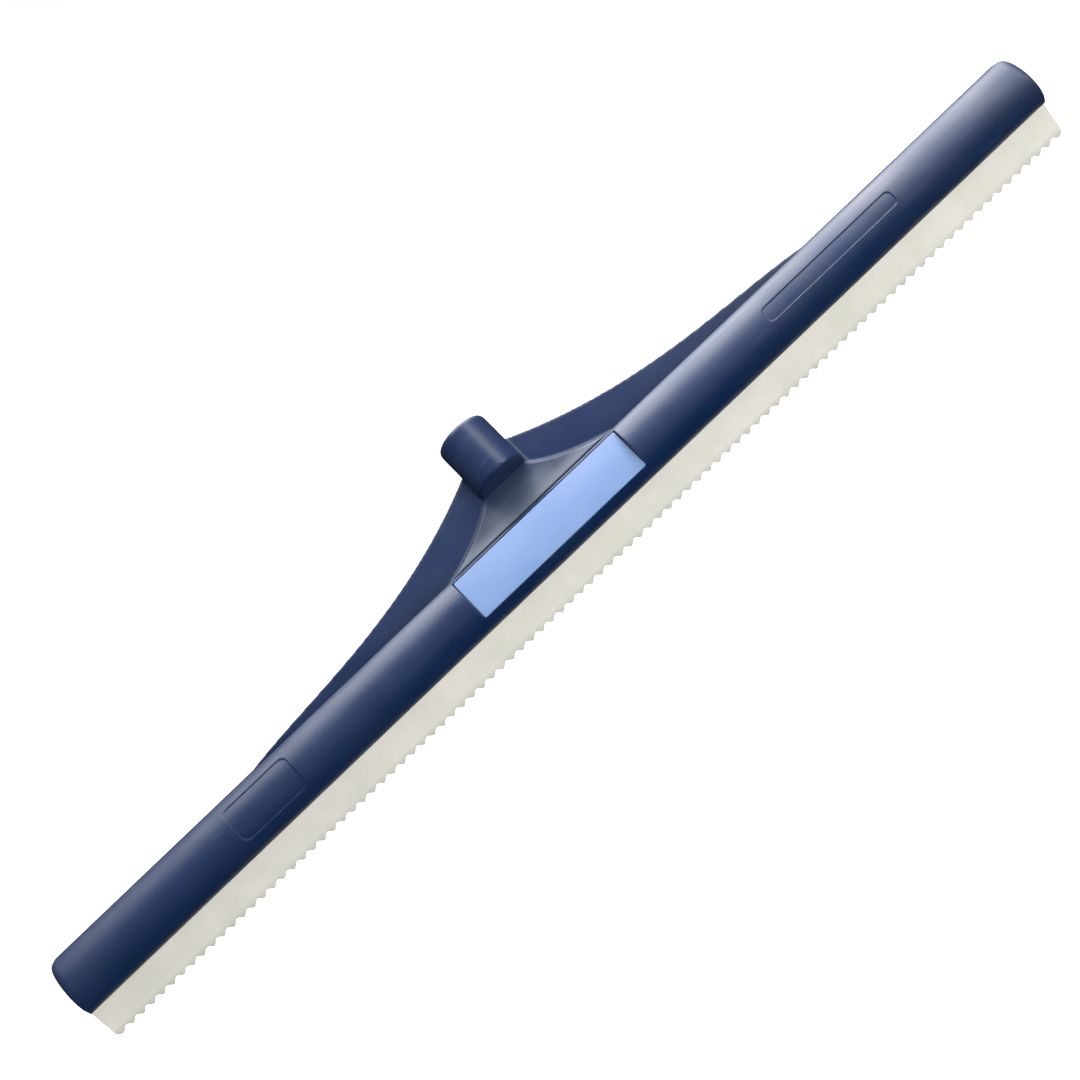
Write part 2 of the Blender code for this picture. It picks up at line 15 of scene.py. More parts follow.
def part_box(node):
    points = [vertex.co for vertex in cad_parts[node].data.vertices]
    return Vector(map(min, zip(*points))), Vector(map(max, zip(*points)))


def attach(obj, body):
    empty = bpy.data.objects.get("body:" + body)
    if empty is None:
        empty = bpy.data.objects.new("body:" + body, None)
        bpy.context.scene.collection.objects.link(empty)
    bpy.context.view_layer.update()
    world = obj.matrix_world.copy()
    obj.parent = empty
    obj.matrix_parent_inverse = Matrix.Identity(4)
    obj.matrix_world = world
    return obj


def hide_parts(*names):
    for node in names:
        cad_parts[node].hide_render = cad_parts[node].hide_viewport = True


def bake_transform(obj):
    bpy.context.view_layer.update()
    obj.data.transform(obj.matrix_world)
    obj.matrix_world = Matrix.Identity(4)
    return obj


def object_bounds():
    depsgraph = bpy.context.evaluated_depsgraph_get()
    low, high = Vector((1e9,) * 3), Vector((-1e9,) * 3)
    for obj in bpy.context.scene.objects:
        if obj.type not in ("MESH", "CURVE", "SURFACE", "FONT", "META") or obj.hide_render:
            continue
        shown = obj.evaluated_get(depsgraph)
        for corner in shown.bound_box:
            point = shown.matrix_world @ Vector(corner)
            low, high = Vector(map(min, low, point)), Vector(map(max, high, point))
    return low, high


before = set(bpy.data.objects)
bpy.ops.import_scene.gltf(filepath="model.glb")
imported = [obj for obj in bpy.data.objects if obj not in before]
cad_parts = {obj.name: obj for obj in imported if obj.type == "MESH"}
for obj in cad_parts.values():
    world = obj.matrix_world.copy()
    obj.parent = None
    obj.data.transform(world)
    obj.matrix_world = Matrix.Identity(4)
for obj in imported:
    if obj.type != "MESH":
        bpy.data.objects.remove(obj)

cad_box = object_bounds()

blade_low, blade_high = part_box("blade_clamped")
jaw_low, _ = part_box("rear_jaw")
ORIGIN = Vector((0.0, (blade_low[1] + blade_high[1]) / 2, jaw_low[2]))
TO_WORLD = Matrix.Translation(ORIGIN) @ Matrix.Scale(0.001, 4)

# Clearance between parts that fit into each other, and the gusset's 45 degrees
GAP = 0.3
DIAGONAL = math.sqrt(0.5)

# Front cover
COVER_HALF = 304.0
COVER_CENTRE = Vector((1.15, 13.05))
COVER_RADIUS = 14.6
COVER_WALL = 2.4
COVER_TOP = COVER_CENTRE.y + COVER_RADIUS
BARREL_RADIUS = 6.0
BARREL_END_DEG = 45.0
HINGE_TILT_DEG = 20.0
HINGE = COVER_CENTRE + (COVER_RADIUS - BARREL_RADIUS) * Vector(
    (math.sin(math.radians(HINGE_TILT_DEG)), math.cos(math.radians(HINGE_TILT_DEG)))
)
CORNER_RADIUS = 5.0
END_FILLET = 1.5
END_WALL = 2.7
LAST_SUNK_X = 240.0
LIP_DEG = -math.degrees(math.acos(-COVER_CENTRE.y / COVER_RADIUS))
LIP_FACE = -2.7
LIP_HEIGHT = 4.0
CLAMP_RIB = (12.2, 14.6)
CHEEK_SPAN = (4.3, 7.3)
CHEEK_RADIUS = 3.4
PIN_BORE_HALF = 290.0

# Label recess and moulded panels
LABEL_HALF = 50.8
LABEL_TALL = 22.2
LABEL_MID_DEG = -46.0
LABEL_HALF_DEG = 52.0
LABEL_CHORD = COVER_RADIUS * math.cos(math.radians(LABEL_HALF_DEG))
RECESS_DEPTH = 0.8
RECESS_WALL = 1.2
RECESS_SIDE_WALL = 1.8
LABEL_CORNER = 1.0
LABEL_FLOOR = LABEL_CHORD - RECESS_DEPTH
RECESS_HALF_X = LABEL_HALF + GAP
RECESS_HALF_Y = COVER_RADIUS * math.sin(math.radians(LABEL_HALF_DEG)) - 0.2
# Each panel: left and right end, lower and upper angle, corner radius
PANELS = (
    (-199.0, -160.5, -92.0, -16.0, 4.0),
    (137.0, 218.5, -66.0, -34.0, 2.6),
)
PANEL_DEPTH = 0.5

# Hinge and stud stations
STATIONS = [86.0 * i for i in range(-3, 4)]
PIN_RADIUS = 1.5
PIN_HALF = 7.6
STUD_RADIUS = 2.5
STUD_Z = 8.5
STUD_DOME_START = -2.6

# Blade
BLADE_HALF = 304.8
BLADE_HALF_THICK = 2.4
BLADE_TOP = 17.5
BLADE_BOTTOM = -20.6
NOTCH_PITCH = 6.35
NOTCH_DEPTH = 2.1
BLADE_CORNER = 3.3

# Gusset, web and boss
GUSSET_ZERO = Vector((17.9, 26.8))
GUSSET_SHIFT = 8.9
GUSSET_DEPTH = 8.0
GUSSET_SKIN = 3.0
GUSSET_FOOT = -4.93
GUSSET_RIM = 2.6
GUSSET_TUCK = 1.5
GUSSET_CURVE = ((176.0, -4.93), (137.4, 1.84), (78.3, -2.4), (14.0, 27.45))
GUSSET_CELLS = ((17.0, 36.0), (38.0, 62.0), (64.0, 96.0), (98.0, 136.0))
BOSS_RADIUS = 13.6
BOSS_OFFSET = 5.5
BOSS_START = 12.0
BOSS_END = 42.0
BOSS_SKIRT_END = 27.2
BOSS_FOOT_ROUND = 1.6
BOSS_RIM_ROUND = 2.4
BORE_DEPTH = 26.0
THREAD_MAJOR = 9.55
THREAD_MINOR = 8.05
THREAD_PITCH = 5.08
RIDGE_RISE = (0.18, 0.36)
RIDGE_FALL = (0.64, 0.82)
WEB_CURVE = ((9.5, 25.4), (14.5, 27.7), (20.0, 30.6), (25.35, 35.55))
WEB_HALF_WIDTHS = (47.0, 13.6)
WEB_SPREAD_POWER = 1.12
WEB_SIDE_SLOPE = 2.4
WEB_ROOT = 2.2
WEB_RUN_ON = 3.0
VOXEL = 0.62
JAW_EDGE_ROUND = 0.35


# ---------------------------------------------------------------- geometry helpers


def smoothstep(low, high, value):
    t = min(1.0, max(0.0, (value - low) / (high - low)))
    return t * t * (3.0 - 2.0 * t)


def direction(deg):
    angle = math.radians(deg)
    return Vector((math.sin(angle), math.cos(angle)))


def arc(centre, radius, start_deg, end_deg, count):
    span = end_deg - start_deg
    return [centre + radius * direction(start_deg + span * i / count) for i in range(count + 1)]


def bezier(control, count):
    a, b, c, d = (Vector(point) for point in control)
    points = []
    for i in range(count + 1):
        t = i / count
        s = 1.0 - t
        points.append(a * s**3 + b * 3 * s * s * t + c * 3 * s * t * t + d * t**3)
    return points


def on_gusset(along, offset=0.0):
    slope = Vector((DIAGONAL, DIAGONAL))
    normal = Vector((-DIAGONAL, DIAGONAL))
    return GUSSET_ZERO + along * slope + offset * normal


GUSSET_MATRIX = Matrix((
    (1, 0, 0, 0),
    (0, DIAGONAL, -DIAGONAL, GUSSET_ZERO.x),
    (0, DIAGONAL, DIAGONAL, GUSSET_ZERO.y),
    (0, 0, 0, 1),
))


def temporary(bm, name="work"):
    """The bmesh as an object in millimetres, to be used by modifiers."""
    bmesh.ops.recalc_face_normals(bm, faces=bm.faces)
    mesh = bpy.data.meshes.new(name)
    bm.to_mesh(mesh)
    bm.free()
    item = bpy.data.objects.new(name, mesh)
    bpy.context.scene.collection.objects.link(item)
    return item


def baked(item):
    """The object's evaluated mesh; the object itself is removed."""
    bpy.context.view_layer.update()
    graph = bpy.context.evaluated_depsgraph_get()
    mesh = bpy.data.meshes.new_from_object(item.evaluated_get(graph))
    bpy.data.objects.remove(item, do_unlink=True)
    return mesh


def cut(item, tool, operation="DIFFERENCE"):
    """One exact Boolean, applied at once; the tool is removed."""
    mod = item.modifiers.new("cut", "BOOLEAN")
    mod.operation = operation
    mod.solver = "EXACT"
    mod.object = tool
    bpy.context.view_layer.update()
    graph = bpy.context.evaluated_depsgraph_get()
    mesh = bpy.data.meshes.new_from_object(item.evaluated_get(graph))
    item.modifiers.clear()
    item.data = mesh
    bpy.data.objects.remove(tool, do_unlink=True)


def place(name, mesh, material, body, *nodes, smooth_deg=35.0):
    """A finished piece in metres, riding on a body and standing for CAD nodes."""
    mesh.transform(TO_WORLD)
    mesh.materials.clear()
    mesh.materials.append(material)
    mesh.shade_smooth()
    mesh.set_sharp_from_angle(angle=math.radians(smooth_deg))
    item = bpy.data.objects.new(name, mesh)
    bpy.context.scene.collection.objects.link(item)
    if body:
        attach(item, body)
    if nodes:
        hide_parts(*nodes)
    return item


def sweep(rings):
    """A closed skin through equal rings of points, with flat ends."""
    bm = bmesh.new()
    rows = [[bm.verts.new(point) for point in ring] for ring in rings]
    count = len(rows[0])
    for low, high in zip(rows, rows[1:]):
        for k in range(count):
            nxt = (k + 1) % count
            bm.faces.new((low[k], low[nxt], high[nxt], high[k]))
    bm.faces.new(rows[0])
    bm.faces.new(list(reversed(rows[-1])))
    return bm


def prism(outline, low, high):
    return sweep([[(x, point[0], point[1]) for point in outline] for x in (low, high)])


def flat_prism(outline, low, high, matrix):
    """An XY outline extruded from `low` to `high` along the matrix's Z."""
    return sweep([[matrix @ Vector((x, y, z)) for x, y in outline] for z in (low, high)])


def turned(profile, sides, matrix):
    """A closed turned body: (radius, height) pairs from pole to pole, about the matrix's Z."""
    rings = []
    for radius, height in profile:
        ring = []
        for k in range(sides):
            angle = 2 * math.pi * k / sides
            point = Vector((radius * math.cos(angle), radius * math.sin(angle), height))
            ring.append(matrix @ point)
        rings.append(ring)
    return sweep(rings)


def merged(*parts):
    """Several bmeshes in one."""
    bm = bmesh.new()
    for part in parts:
        mesh = bpy.data.meshes.new("part")
        part.to_mesh(mesh)
        part.free()
        bm.from_mesh(mesh)
        bpy.data.meshes.remove(mesh)
    return bm


def inset_loop(points, distance):
    """A closed loop moved inwards by `distance`, with mitred corners."""
    count = len(points)
    area = sum(
        points[i].x * points[(i + 1) % count].y - points[(i + 1) % count].x * points[i].y
        for i in range(count)
    )
    turn = 1.0 if area > 0 else -1.0
    moved = []
    for i, point in enumerate(points):
        before = (point - points[i - 1]).normalized()
        after = (points[(i + 1) % count] - point).normalized()
        normal_a = Vector((-before.y, before.x)) * turn
        normal_b = Vector((-after.y, after.x)) * turn
        middle = (normal_a + normal_b).normalized()
        reach = distance / max(0.6, middle.dot(normal_a))
        moved.append(point + middle * reach)
    return moved


def with_edges(low, high, step, edges, spread):
    """Grid lines from `low` to `high`, with extra ones around each edge."""
    count = max(1, round((high - low) / step))
    lines = [low + (high - low) * i / count for i in range(count + 1)]
    for edge in edges:
        lines = [line for line in lines if abs(line - edge) > spread[-1] or line in (low, high)]
        lines += [edge + side * offset for offset in spread for side in (-1, 1)]
        lines.append(edge)
    kept = []
    for line in sorted(line for line in lines if low <= line <= high):
        if not kept or line - kept[-1] > 1e-3:
            kept.append(line)
    return kept


# ---------------------------------------------------------------- front cover


def sunk(x, theta, point):
    """The outer skin's point, sunk where the label recess or a panel is."""
    normal = direction(LABEL_MID_DEG)
    along = Vector((normal.y, -normal.x))
    from_centre = point - COVER_CENTRE
    inside_x = 1.0 - smoothstep(RECESS_HALF_X - 0.1, RECESS_HALF_X + 0.35, abs(x))
    from_middle = abs(from_centre.dot(along))
    inside_y = 1.0 - smoothstep(RECESS_HALF_Y - 0.1, RECESS_HALF_Y + 0.3, from_middle)
    weight = min(inside_x, inside_y)
    if weight > 0.0:
        return point - normal * (from_centre.dot(normal) - LABEL_FLOOR) * weight
    for left, right, low_deg, high_deg, round_radius in PANELS:
        half_x = (right - left) / 2
        half_s = math.radians(high_deg - low_deg) / 2 * COVER_RADIUS
        s = math.radians(theta - (low_deg + high_deg) / 2) * COVER_RADIUS
        dx = abs(x - (left + right) / 2) - (half_x - round_radius)
        ds = abs(s) - (half_s - round_radius)
        outside = math.hypot(max(dx, 0.0), max(ds, 0.0)) + min(max(dx, ds), 0.0) - round_radius
        weight = 1.0 - smoothstep(-0.2, 0.25, outside)
        if weight > 0.0:
            return point - from_centre.normalized() * PANEL_DEPTH * weight
    return point


def cover_height(x):
    """Height of the cover near its rounded upper corners, as a share of its full height."""
    into = abs(x) - (COVER_HALF - CORNER_RADIUS)
    if into <= 0.0:
        return 1.0
    drop = CORNER_RADIUS - math.sqrt(max(0.0, CORNER_RADIUS**2 - into**2))
    return (COVER_TOP - drop) / COVER_TOP


def cover_rings():
    label_deg = [LABEL_MID_DEG + side * math.degrees(math.asin(RECESS_HALF_Y / COVER_RADIUS))
                 for side in (-1, 1)]
    panel_deg = [deg for panel in PANELS for deg in panel[2:4]]
    spread_deg = [0.35, 0.7, 1.1, 1.6, 2.3]
    angles = with_edges(LIP_DEG + 2.4, HINGE_TILT_DEG, 2.0, label_deg + panel_deg, spread_deg)
    corner_x = [edge for panel in PANELS for edge in panel[:2]]
    fine = [0.12, 0.25, 0.4, 0.6, 0.9, 1.3, 1.8, 2.4, 3.2]
    edges = corner_x + [-RECESS_HALF_X, RECESS_HALF_X]
    xs = with_edges(-COVER_HALF + CORNER_RADIUS, COVER_HALF - CORNER_RADIUS, 7.0, edges, fine)

    barrel = arc(HINGE, BARREL_RADIUS, HINGE_TILT_DEG, BARREL_END_DEG, 8)[1:]
    back = [Vector(p) for p in ((7.4, 21.1), (5.0, 17.0), (2.0, 13.0), (2.0, 0.0))]
    lip = [Vector((-4.9, 0.0)), Vector((-5.2, 0.06)), Vector((-5.45, 0.26))]
    loop = [COVER_CENTRE + COVER_RADIUS * direction(deg) for deg in angles] + barrel + back + lip

    def ring(x, inset):
        points = list(loop)
        if inset > 0.0:
            for i in range(len(angles) + len(barrel)):
                pivot, fade = HINGE, 1.0
                if i < len(angles):
                    pivot = COVER_CENTRE
                    fade = smoothstep(LIP_DEG + 3.0, LIP_DEG + 30.0, angles[i])
                points[i] = loop[i] + (pivot - loop[i]).normalized() * inset * fade
        if abs(x) < LAST_SUNK_X:
            for i, theta in enumerate(angles):
                points[i] = sunk(x, theta, points[i])
        height = cover_height(x)
        return [(x, point.x, point.y * height) for point in points]

    ends = []
    for i in range(1, 10):
        turn = math.radians(90.0 * i / 9)
        x = COVER_HALF - CORNER_RADIUS + (CORNER_RADIUS - END_FILLET) * math.sin(turn)
        ends.append((x, 0.0))
    for i in range(1, 8):
        turn = math.radians(90.0 * i / 7)
        x = COVER_HALF - END_FILLET + END_FILLET * math.sin(turn)
        ends.append((x, END_FILLET * (1 - math.cos(turn))))
    rings = [ring(-x, inset) for x, inset in reversed(ends)]
    rings += [ring(x, 0.0) for x in xs]
    rings += [ring(x, inset) for x, inset in ends]
    return rings


def cavity():
    inner = COVER_RADIUS - COVER_WALL

    def on_inner(z):
        return -math.degrees(math.acos((z - COVER_CENTRE.y) / inner))

    outline = [Vector((LIP_FACE, -3.0)), Vector((LIP_FACE, LIP_HEIGHT - 0.6))]
    outline += [Vector((LIP_FACE - 0.2, LIP_HEIGHT - 0.2)), Vector((LIP_FACE - 0.6, LIP_HEIGHT))]
    outline += arc(COVER_CENTRE, inner, on_inner(LIP_HEIGHT), on_inner(CLAMP_RIB[0]), 16)
    outline += [Vector((LIP_FACE - 0.4, CLAMP_RIB[0])), Vector((LIP_FACE, CLAMP_RIB[0] + 0.4))]
    outline += [Vector((LIP_FACE, CLAMP_RIB[1] - 0.4)), Vector((LIP_FACE - 0.4, CLAMP_RIB[1]))]
    outline += arc(COVER_CENTRE, inner, on_inner(CLAMP_RIB[1]), HINGE_TILT_DEG, 24)
    outline += arc(HINGE, BARREL_RADIUS - COVER_WALL, HINGE_TILT_DEG, BARREL_END_DEG, 5)[1:]
    outline.append(outline[-1] + Vector((6.0, 0.0)))
    outline += [Vector((14.0, 18.0)), Vector((14.0, -3.0))]
    inside = COVER_HALF - END_WALL
    start = inside - CORNER_RADIUS
    xs = [start + CORNER_RADIUS * math.sin(math.radians(10 * i)) for i in range(1, 9)]
    xs.append(inside)
    xs = [-x for x in reversed(xs)] + [-start, start] + xs
    rings = []
    for x in xs:
        height = cover_height(x + math.copysign(1.2, x))
        rings.append([(x, p.x, p.y * height if p.y > 0 else p.y) for p in outline])
    return sweep(rings)


def label_matrix():
    normal = direction(LABEL_MID_DEG)
    foot = COVER_CENTRE + normal * LABEL_FLOOR
    return Matrix((
        (1, 0, 0, 0),
        (0, normal.y, normal.x, foot.x),
        (0, -normal.x, normal.y, foot.y),
        (0, 0, 0, 1),
    ))


def label_block(half_x, low, high):
    """A box over the label's place, from `low` to `high` above the recess floor."""
    half_y = 13.0
    corners = [(-half_x, -half_y), (half_x, -half_y), (half_x, half_y), (-half_x, half_y)]
    return flat_prism(corners, low, high, label_matrix())


def hinge_cheek(start):
    outline = arc(HINGE, CHEEK_RADIUS, 75, 285, 24)
    outline += [Vector((-3.2, 25.8)), Vector((3.5, 26.2))]
    outline.append(HINGE + 4.8 * direction(37.8))
    return prism(outline, start, start + CHEEK_SPAN[1] - CHEEK_SPAN[0])


def build_cover():
    cover = temporary(sweep(cover_rings()), "cover")
    hollow = temporary(cavity(), "hollow")
    pad = label_block(RECESS_HALF_X + RECESS_SIDE_WALL, -RECESS_WALL, 14.0)
    cut(hollow, temporary(pad, "pad"))

    # Both ends are open where the blade and the rear jaw pass through them.
    near = COVER_HALF - END_WALL - 4.0
    front, back = LIP_FACE + 0.01, 11.0
    low_z, top_z = -2.0, BLADE_TOP + GAP
    slot = [(front, low_z), (back, low_z), (back, top_z), (front, top_z)]
    for low, high in ((near, COVER_HALF + 3.0), (-COVER_HALF - 3.0, -near)):
        cut(hollow, temporary(prism(slot, low, high), "slot"), "UNION")
    cut(cover, hollow)
    starts = [x + side for x in STATIONS for side in (CHEEK_SPAN[0], -CHEEK_SPAN[1])]
    cheeks = temporary(merged(*[hinge_cheek(x) for x in starts]), "cheeks")
    cut(cheeks, temporary(label_block(RECESS_HALF_X, -0.5, 14.0), "trim"))
    cut(cover, cheeks, "UNION")
    bore_radius = PIN_RADIUS + GAP
    bore = turned([(bore_radius, -PIN_BORE_HALF), (bore_radius, PIN_BORE_HALF)], 24, AXLE)
    cut(cover, temporary(bore, "bore"))
    mesh = baked(cover)
    return place("front_cover_moulding", mesh, navy_cover, "cover", "front_cover", smooth_deg=32.0)


def build_label():
    """A thin blank film with round corners and a soft edge."""
    steps = 6
    tall = LABEL_TALL / 2
    outline = []
    for sx, sy, first in ((1, 1, 0), (-1, 1, 90), (-1, -1, 180), (1, -1, 270)):
        for i in range(steps + 1):
            angle = math.radians(first + 90 * i / steps)
            outline.append(Vector((
                sx * (LABEL_HALF - LABEL_CORNER) + LABEL_CORNER * math.cos(angle),
                sy * (tall - LABEL_CORNER) + LABEL_CORNER * math.sin(angle),
            )))
    matrix = label_matrix()
    rings = []
    for inset, height in ((0.0, 0.3), (0.0, 0.62), (0.06, 0.72), (0.16, 0.79), (0.3, 0.8)):
        loop = inset_loop(outline, inset) if inset else outline
        rings.append([matrix @ Vector((p.x, p.y, height)) for p in loop])
    mesh = baked(temporary(sweep(rings), "label"))
    return place("label_film_blank", mesh, label_film, "cover", "label_plate", smooth_deg=50.0)


# ---------------------------------------------------------------- pole bracket

AXLE = Matrix((
    (0, 0, 1, 0),
    (1, 0, 0, HINGE.x),
    (0, 1, 0, HINGE.y),
    (0, 0, 0, 1),
))


def gusset_body():
    curve = bezier(GUSSET_CURVE, 60)
    right = curve + [Vector((0.0, curve[-1].y))]
    foot = GUSSET_FOOT - GUSSET_TUCK
    outline = [Vector((right[0].x, foot))] + right
    outline += [Vector((-point.x, point.y)) for point in reversed(outline[:-1])]
    plate = temporary(flat_prism(outline, -GUSSET_DEPTH, 0.0, GUSSET_MATRIX), "plate")
    pockets = []
    for start, end in GUSSET_CELLS:
        for side in (1, -1):
            edge = [point for point in curve if start < point.x < end]
            low = GUSSET_FOOT + GUSSET_RIM
            shape = [Vector((start, low)), Vector((end, low))]
            shape += [Vector((p.x, max(p.y - GUSSET_RIM, low + 0.4))) for p in edge[::2]]
            shape[1].x = shape[2].x
            shape[0].x = shape[-1].x
            shape = [Vector((side * p.x, p.y)) for p in shape]
            pockets.append(flat_prism(shape, -GUSSET_DEPTH - 5.0, -GUSSET_SKIN, GUSSET_MATRIX))
    cut(plate, temporary(merged(*pockets), "pockets"))
    return plate


def boss_matrix():
    """Z along the boss from its foot, at the height of the gusset's own zero."""
    slope = Vector((DIAGONAL, DIAGONAL))
    start = on_gusset(0.0, BOSS_OFFSET)
    return Matrix((
        (1, 0, 0, 0),
        (0, DIAGONAL, slope.x, start.x),
        (0, -DIAGONAL, slope.y, start.y),
        (0, 0, 0, 1),
    ))


def thread_cutter():
    """The bore with one helical ridge left standing."""
    sides = 64
    matrix = boss_matrix()
    low = BOSS_END - BORE_DEPTH
    rings = []
    height = low
    while height < BOSS_END + 3.0:
        ring = []
        for k in range(sides):
            turn = k / sides
            phase = ((height - low) / THREAD_PITCH - turn) % 1.0
            ridge = smoothstep(*RIDGE_RISE, phase) - smoothstep(*RIDGE_FALL, phase)
            fade = smoothstep(BOSS_END - 1.0, BOSS_END - 3.5, height)
            radius = THREAD_MAJOR - (THREAD_MAJOR - THREAD_MINOR) * ridge * fade
            radius += smoothstep(BOSS_END - 1.2, BOSS_END + 0.2, height)
            angle = 2 * math.pi * turn
            point = Vector((radius * math.cos(angle), radius * math.sin(angle), height))
            ring.append(matrix @ point)
        rings.append(ring)
        height += 0.5
    return sweep(rings)


def boss_body():
    turns = [math.radians(15 * i) for i in range(7)]
    rim = [(BOSS_RADIUS - BOSS_RIM_ROUND * (1 - math.cos(t)),
            BOSS_END - BOSS_RIM_ROUND * (1 - math.sin(t))) for t in turns]
    foot = [(BOSS_RADIUS - BOSS_FOOT_ROUND * (1 - math.sin(t)),
             BOSS_START + BOSS_FOOT_ROUND * (1 - math.cos(t))) for t in turns]
    boss = temporary(turned(foot + rim, 96, boss_matrix()), "boss")
    skirt_start = BOSS_START + BOSS_FOOT_ROUND
    skirt = flat_prism(
        [(-BOSS_RADIUS, skirt_start), (BOSS_RADIUS, skirt_start),
         (BOSS_RADIUS, BOSS_SKIRT_END), (-BOSS_RADIUS, BOSS_SKIRT_END)],
        -GUSSET_DEPTH, BOSS_OFFSET, GUSSET_MATRIX,
    )
    cut(boss, temporary(skirt, "skirt"), "UNION")
    cut(boss, temporary(thread_cutter(), "thread"))
    return boss


def web_body():
    """The ramp: soft shoulders that spread from the boss to the ends of the label."""
    rows = 24
    profile = bezier(WEB_CURVE, rows)
    rings = []
    for i, point in enumerate(profile):
        t = i / rows
        ridge = WEB_HALF_WIDTHS[0] * (1 - t) ** WEB_SPREAD_POWER + WEB_HALF_WIDTHS[1] * t
        height = (point.y - point.x - GUSSET_SHIFT) * DIAGONAL
        foot = ridge + WEB_SIDE_SLOPE * max(0.0, height) * (1 - t)
        behind = point - (height + WEB_ROOT) * Vector((-DIAGONAL, DIAGONAL))
        rings.append([
            (-foot, behind.x, behind.y), (-ridge, point.x, point.y),
            (ridge, point.x, point.y), (foot, behind.x, behind.y),
        ])
    # The last ring runs on into the boss, so that no gap is left below its rim.
    rings.append([(x, y + WEB_RUN_ON, z + WEB_RUN_ON) for x, y, z in rings[-1]])
    return sweep(rings)


def build_bracket():
    """Gusset, web and boss as one moulding: a fine voxel union, smoothed into fillets."""
    parts = [gusset_body(), boss_body(), temporary(web_body(), "web")]
    bm = bmesh.new()
    for part in parts:
        bm.from_mesh(part.data)
        bpy.data.objects.remove(part, do_unlink=True)
    body = temporary(bm, "bracket")
    remesh = body.modifiers.new("union", "REMESH")
    remesh.mode = "VOXEL"
    remesh.voxel_size = VOXEL
    soften = body.modifiers.new("fillets", "SMOOTH")
    soften.factor = 0.5
    soften.iterations = 9
    thin = body.modifiers.new("thin", "DECIMATE")
    thin.ratio = 0.45
    mesh = baked(body)
    return place("pole_bracket_moulding", mesh, navy_bracket, "frame",
                 "gusset_plate", "centre_web", "handle_socket", smooth_deg=80.0)


# ---------------------------------------------------------------- rear jaw


def build_rear_jaw():
    """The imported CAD's jaw with its edges rounded as a mould leaves them."""
    bm = bmesh.new()
    bm.from_mesh(bpy.data.objects["rear_jaw"].data)
    bmesh.ops.transform(bm, matrix=TO_WORLD.inverted(), verts=bm.verts)
    bmesh.ops.remove_doubles(bm, verts=bm.verts, dist=1e-3)
    bmesh.ops.dissolve_limit(
        bm, angle_limit=math.radians(0.5), verts=bm.verts, edges=bm.edges,
        use_dissolve_boundaries=False,
    )
    jaw = temporary(bm, "jaw")
    bevel = jaw.modifiers.new("edges", "BEVEL")
    bevel.width = JAW_EDGE_ROUND
    bevel.segments = 3
    bevel.limit_method = "ANGLE"
    bevel.angle_limit = math.radians(40)
    bevel.use_clamp_overlap = True
    mesh = baked(jaw)
    return place("rear_jaw_moulding", mesh, navy_bracket, "frame", "rear_jaw", smooth_deg=35.0)


# ---------------------------------------------------------------- blade, pins and studs


def tooth_edge(x):
    """Height of the blade's lower edge: round teeth, V notches and round end corners."""
    t = (x + BLADE_HALF) / NOTCH_PITCH
    from_tooth = abs(t - math.floor(t) - 0.5) * NOTCH_PITCH
    if x < -BLADE_HALF + NOTCH_PITCH / 2 or x > BLADE_HALF - NOTCH_PITCH / 2:
        from_tooth = 0.0
    edge = BLADE_BOTTOM + NOTCH_DEPTH * smoothstep(0.1, 2.9, from_tooth)
    into = min(abs(x) - (BLADE_HALF - BLADE_CORNER), BLADE_CORNER)
    if into > 0.0:
        edge += BLADE_CORNER - math.sqrt(max(0.0, BLADE_CORNER**2 - into**2))
    return edge


def build_blade():
    half = BLADE_HALF_THICK
    # Rows of points, closest where the blade bends
    levels = [17.2, 12.0, 6.0, 1.8, 1.0, 0.3, -0.4, -1.1]
    levels += [-1.8, -2.5, -3.2, -4.0, -5.5, -9.0, -13.0, -16.2]
    per_tooth = 12
    teeth = round(2 * BLADE_HALF / NOTCH_PITCH)
    xs = [-BLADE_HALF + NOTCH_PITCH * i / per_tooth for i in range(teeth * per_tooth + 1)]
    start = BLADE_HALF - BLADE_CORNER
    xs = [x for x in xs if abs(x) < start - 0.1]
    tail = [start + BLADE_CORNER * math.sin(math.radians(12 * i)) for i in range(1, 7)]
    tail += [BLADE_HALF - 0.05]
    xs = [-x for x in reversed(tail)] + xs + tail

    def ring(x, trim):
        edge = tooth_edge(x)
        wide = half - trim
        front = [(-wide + 0.3, BLADE_TOP)] + [(-wide, z) for z in levels]
        front += [(-wide, edge + 0.45), (-wide + 0.1, edge + 0.16), (-wide + 0.35, edge)]
        back = [(-y, z) for y, z in reversed(front)]
        return [(x, y, z) for y, z in front + back]

    rings = [ring(x, 0.0) for x in xs]
    rings[0] = [(-BLADE_HALF, y, z) for _, y, z in ring(xs[0], 0.25)]
    rings[-1] = [(BLADE_HALF, y, z) for _, y, z in ring(xs[-1], 0.25)]
    mesh = baked(temporary(sweep(rings), "blade"))
    blade = place("notched_blade", mesh, rubber, None,
                  "blade_clamped", "blade_edge", smooth_deg=40.0)
    start = TO_WORLD @ Vector((0.0, 0.0, 1.0))
    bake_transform(blade)
    return blade


